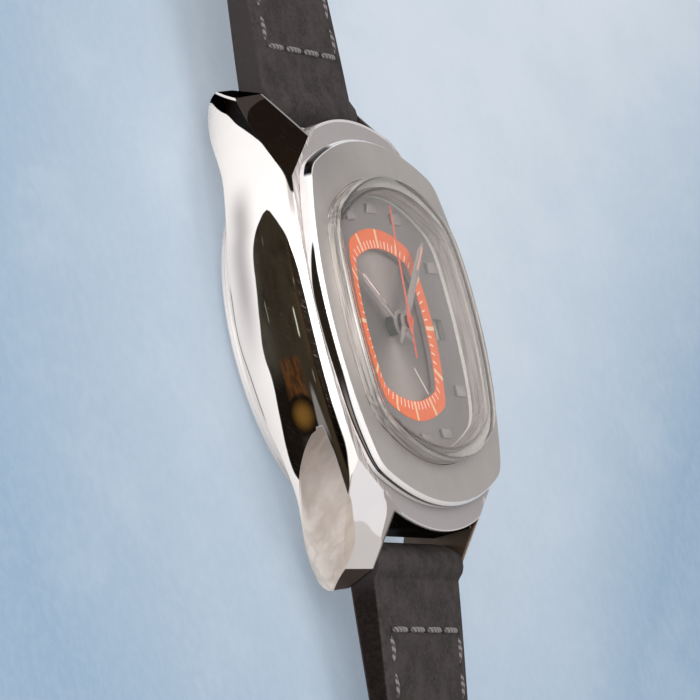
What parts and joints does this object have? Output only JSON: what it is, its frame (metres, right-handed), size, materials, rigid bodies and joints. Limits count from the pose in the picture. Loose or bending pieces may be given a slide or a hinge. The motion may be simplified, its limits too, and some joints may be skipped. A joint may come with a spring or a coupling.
{
  "type": "alarm wristwatch",
  "caption": "Cushion-cased mechanical alarm wristwatch with two crowns, orange minute ring, domed crystal and grey suede strap with pin buckle, laid open.",
  "frame": {"origin": "center of the case back's flat outer face, which rests on the ground", "axes": "+Y from 6 o'clock to 12 o'clock, +X from 9 o'clock to 3 o'clock, +Z from the case back to the crystal"},
  "size_m": [0.0389, 0.2408, 0.013],
  "materials": {
    "polished_steel": "polished",
    "satin_steel": "satin",
    "crystal_glass": "polished",
    "white_gasket": "matte",
    "seal_rubber": "matte",
    "dial_grey": "satin",
    "ring_orange": "matte",
    "lume_cream": "matte",
    "disc_grey": "satin",
    "date_white": "matte",
    "hand_steel": "polished",
    "seconds_orange": "satin",
    "plate_brass": "satin",
    "bridge_steel": "satin",
    "wheel_brass": "polished",
    "ruby": "gloss",
    "blued_screw": "gloss",
    "pinion_steel": "polished",
    "hair_blue": "gloss",
    "rotor_metal": "satin",
    "strap_suede": "matte",
    "buckle_steel": "polished"
  },
  "bodies": {
    "case": {"case_middle": "polished_steel", "bezel": "satin_steel", "crystal": "crystal_glass", "crystal_gasket": "white_gasket", "case_back": "polished_steel", "back_gasket": "seal_rubber", "gong_ring": "bridge_steel", "movement_ring": "satin_steel", "crown_tubes": "pinion_steel", "dial_plate": "dial_grey", "minute_ring": "ring_orange", "hour_markers": "hand_steel", "main_plate": "plate_brass", "train_bridge": "bridge_steel", "barrel_bridge": "bridge_steel", "alarm_bridge": "bridge_steel", "balance_cock": "bridge_steel", "rotor_bridge": "bridge_steel", "jewels": "ruby", "movement_screws": "blued_screw", "spring_bars": "pinion_steel", "hairspring": "hair_blue"},
    "minute_drive": {"minute_hand": "hand_steel", "cannon_pinion": "pinion_steel"},
    "hour_drive": {"hour_hand": "hand_steel", "hour_wheel": "wheel_brass"},
    "motion_wheel": {"minute_wheel": "wheel_brass"},
    "seconds_drive": {"seconds_hand": "seconds_orange", "fourth_wheel": "wheel_brass"},
    "third": {"third_wheel": "wheel_brass"},
    "great": {"great_wheel": "wheel_brass"},
    "barrel": {"mainspring_barrel": "wheel_brass"},
    "escape": {"escape_wheel": "pinion_steel"},
    "pallets": {"pallet_fork": "pinion_steel"},
    "balance": {"balance_wheel": "wheel_brass"},
    "ratchet": {"ratchet_wheel": "pinion_steel"},
    "alarm_setting": {"alarm_disc": "disc_grey"},
    "date": {"date_disc": "date_white"},
    "alarm_drive": {"alarm_barrel": "wheel_brass"},
    "alarm_ratchet": {"alarm_ratchet_wheel": "pinion_steel"},
    "strike": {"strike_wheel": "pinion_steel"},
    "hammer": {"alarm_hammer": "pinion_steel"},
    "winding_weight": {"rotor": "rotor_metal"},
    "time_clutch": {"time_clutch_pinion": "pinion_steel"},
    "time_knob": {"time_crown": "polished_steel", "time_stem": "pinion_steel", "time_crown_seal": "seal_rubber"},
    "alarm_clutch": {"alarm_clutch_pinion": "pinion_steel"},
    "alarm_knob": {"alarm_crown": "polished_steel", "alarm_stem": "pinion_steel", "alarm_crown_seal": "seal_rubber"},
    "upper_strap": {"strap_upper": "strap_suede", "fixed_keeper": "strap_suede"},
    "lower_strap": {"strap_lower": "strap_suede"},
    "loose_keeper": {"sliding_keeper": "strap_suede"},
    "buckle": {"buckle_frame": "buckle_steel", "buckle_pin": "buckle_steel"},
    "tongue": {"buckle_tongue": "buckle_steel"}
  },
  "joints": [
    {"name": "minute_turn", "type": "hinge", "parent": "case", "child": "minute_drive", "pos_m": [0, 0, 0.0095], "axis": [0, 0, -1], "continuous": true},
    {"name": "hour_turn", "type": "hinge", "parent": "case", "child": "hour_drive", "pos_m": [0, 0, 0.009], "axis": [0, 0, -1], "continuous": true},
    {"name": "motion_wheel_turn", "type": "hinge", "parent": "case", "child": "motion_wheel", "pos_m": [0.0026, 0.00117, 0.0078], "axis": [0, 0, -1], "continuous": true},
    {"name": "seconds_turn", "type": "hinge", "parent": "case", "child": "seconds_drive", "pos_m": [0, 0, 0.007], "axis": [0, 0, -1], "continuous": true},
    {"name": "third_turn", "type": "hinge", "parent": "case", "child": "third", "pos_m": [-0.0006, -0.00314, 0.0053], "axis": [0, 0, -1], "continuous": true},
    {"name": "great_turn", "type": "hinge", "parent": "case", "child": "great", "pos_m": [-0.0039, -0.002, 0.005], "axis": [0, 0, -1], "continuous": true},
    {"name": "barrel_turn", "type": "hinge", "parent": "case", "child": "barrel", "pos_m": [-0.007, 0.0022, 0.0053], "axis": [0, 0, -1], "continuous": true},
    {"name": "escape_turn", "type": "hinge", "parent": "case", "child": "escape", "pos_m": [0.0026, -0.0015, 0.0053], "axis": [0, 0, -1], "continuous": true},
    {"name": "pallet_rock", "type": "hinge", "parent": "case", "child": "pallets", "pos_m": [0.00404, -0.00354, 0.0057], "axis": [0, 0, 1], "range_deg": [-5, 5]},
    {"name": "balance_swing", "type": "hinge", "parent": "case", "child": "balance", "pos_m": [0.0062, -0.0066, 0.0052], "axis": [0, 0, 1], "range_deg": [-270, 270]},
    {"name": "ratchet_turn", "type": "hinge", "parent": "case", "child": "ratchet", "pos_m": [-0.007, 0.0022, 0.004], "axis": [0, 0, -1], "continuous": true},
    {"name": "alarm_disc_turn", "type": "hinge", "parent": "case", "child": "alarm_setting", "pos_m": [0, 0, 0.0085], "axis": [0, 0, -1], "continuous": true},
    {"name": "date_disc_turn", "type": "hinge", "parent": "case", "child": "date", "pos_m": [0, 0, 0.0084], "axis": [0, 0, -1], "continuous": true},
    {"name": "alarm_barrel_turn", "type": "hinge", "parent": "case", "child": "alarm_drive", "pos_m": [0.0064, 0.0054, 0.0053], "axis": [0, 0, -1], "continuous": true},
    {"name": "alarm_ratchet_turn", "type": "hinge", "parent": "case", "child": "alarm_ratchet", "pos_m": [0.0064, 0.0054, 0.004], "axis": [0, 0, -1], "continuous": true},
    {"name": "strike_wheel_turn", "type": "hinge", "parent": "case", "child": "strike", "pos_m": [0.0019, 0.0066, 0.0053], "axis": [0, 0, -1], "continuous": true},
    {"name": "hammer_swing", "type": "hinge", "parent": "case", "child": "hammer", "pos_m": [-0.0026, 0.0094, 0.0052], "axis": [0, 0, 1], "range_deg": [0, 10]},
    {"name": "rotor_turn", "type": "hinge", "parent": "case", "child": "winding_weight", "pos_m": [0, 0, 0.002], "axis": [0, 0, -1], "continuous": true},
    {"name": "time_crown_turn", "type": "hinge", "parent": "case", "child": "time_clutch", "pos_m": [0.0097, -0.0056, 0.0069], "axis": [0.866, -0.5, 0], "continuous": true},
    {"name": "time_crown_pull", "type": "slide", "parent": "time_clutch", "child": "time_knob", "axis": [0.866, -0.5, 0], "range_m": [0, 0.0008]},
    {"name": "alarm_crown_turn", "type": "hinge", "parent": "case", "child": "alarm_clutch", "pos_m": [0.0097, 0.0056, 0.0069], "axis": [0.866, 0.5, 0], "continuous": true},
    {"name": "alarm_crown_pull", "type": "slide", "parent": "alarm_clutch", "child": "alarm_knob", "axis": [0.866, 0.5, 0], "range_m": [0, 0.0008]},
    {"name": "strap_upper_swing", "type": "hinge", "parent": "case", "child": "upper_strap", "pos_m": [0, 0.02, 0.00565], "axis": [1, 0, 0], "range_deg": [-75, 25]},
    {"name": "strap_lower_swing", "type": "hinge", "parent": "case", "child": "lower_strap", "pos_m": [0, -0.02, 0.00565], "axis": [1, 0, 0], "range_deg": [-25, 75]},
    {"name": "keeper_slide", "type": "slide", "parent": "upper_strap", "child": "loose_keeper", "axis": [0, -1, 0], "range_m": [0, 0.014]},
    {"name": "buckle_swing", "type": "hinge", "parent": "upper_strap", "child": "buckle", "pos_m": [0, 0.095, 0.0021], "axis": [-1, 0, 0], "range_deg": [-75, 60]},
    {"name": "tongue_swing", "type": "hinge", "parent": "buckle", "child": "tongue", "pos_m": [0, 0.095, 0.0021], "axis": [1, 0, 0], "range_deg": [0, 95]}
  ],
  "couplings": [
    {"joint": "hour_turn", "follows": "minute_turn", "ratio": 0.083333},
    {"joint": "motion_wheel_turn", "follows": "minute_turn", "ratio": -0.33333},
    {"joint": "third_turn", "follows": "seconds_turn", "ratio": -0.17778},
    {"joint": "great_turn", "follows": "seconds_turn", "ratio": 0.02963},
    {"joint": "barrel_turn", "follows": "seconds_turn", "ratio": -0.004938},
    {"joint": "escape_turn", "follows": "seconds_turn", "ratio": -6.2857},
    {"joint": "strike_wheel_turn", "follows": "alarm_barrel_turn", "ratio": -6.75},
    {"joint": "ratchet_turn", "follows": "time_crown_turn", "ratio": -0.33333},
    {"joint": "alarm_ratchet_turn", "follows": "alarm_crown_turn", "ratio": -0.375}
  ]
}
